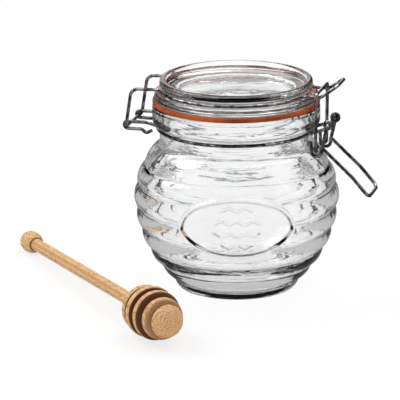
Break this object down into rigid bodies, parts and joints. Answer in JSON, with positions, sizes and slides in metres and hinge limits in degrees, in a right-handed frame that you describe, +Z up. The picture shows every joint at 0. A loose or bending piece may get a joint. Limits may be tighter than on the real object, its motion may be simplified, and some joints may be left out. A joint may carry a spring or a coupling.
{
  "type": "honey jar with dipper",
  "caption": "Clear glass clip-top honey jar with coiled beehive body, blank honeycomb plaque, orange seal, wire closure and a wooden dipper lying beside it.",
  "frame": {"origin": "middle of the space that jar and dipper take up on the surface they stand on", "axes": "+X from the jar's hinge to its clip, +Z up, the plaque faces towards -Y"},
  "size_m": [0.2002, 0.1704, 0.1117],
  "materials": {
    "jar_glass": "clear pressed glass",
    "lid_glass": "clear pressed glass",
    "seal_rubber": "orange-red natural rubber",
    "wire": "bright plated steel wire",
    "beech": "plain turned beech with burnt grooves"
  },
  "bodies": {
    "jar": {"glass_jar": "jar_glass", "neck_wire": "wire", "honey_dipper": "beech"},
    "lid": {"glass_lid": "lid_glass", "rubber_seal": "seal_rubber", "lid_wire": "wire"},
    "link": {"clip_link": "wire"},
    "lever": {"clip_lever": "wire"}
  },
  "joints": [
    {"name": "lid_hinge", "type": "hinge", "parent": "jar", "child": "lid", "pos_m": [-0.0278, 0.0326, 0.0842], "axis": [0, -1, 0], "range_deg": [0, 105]},
    {"name": "link_pivot", "type": "hinge", "parent": "lid", "child": "link", "pos_m": [0.0724, 0.0326, 0.1067], "axis": [0, -1, 0], "range_deg": [0, 36]},
    {"name": "lever_pivot", "type": "hinge", "parent": "jar", "child": "lever", "pos_m": [0.0776, 0.0326, 0.09], "axis": [0, -1, 0], "range_deg": [0, 75]}
  ],
  "couplings": [
    {"joint": "link_pivot", "follows": "lever_pivot", "ratio": 0.4615}
  ]
}
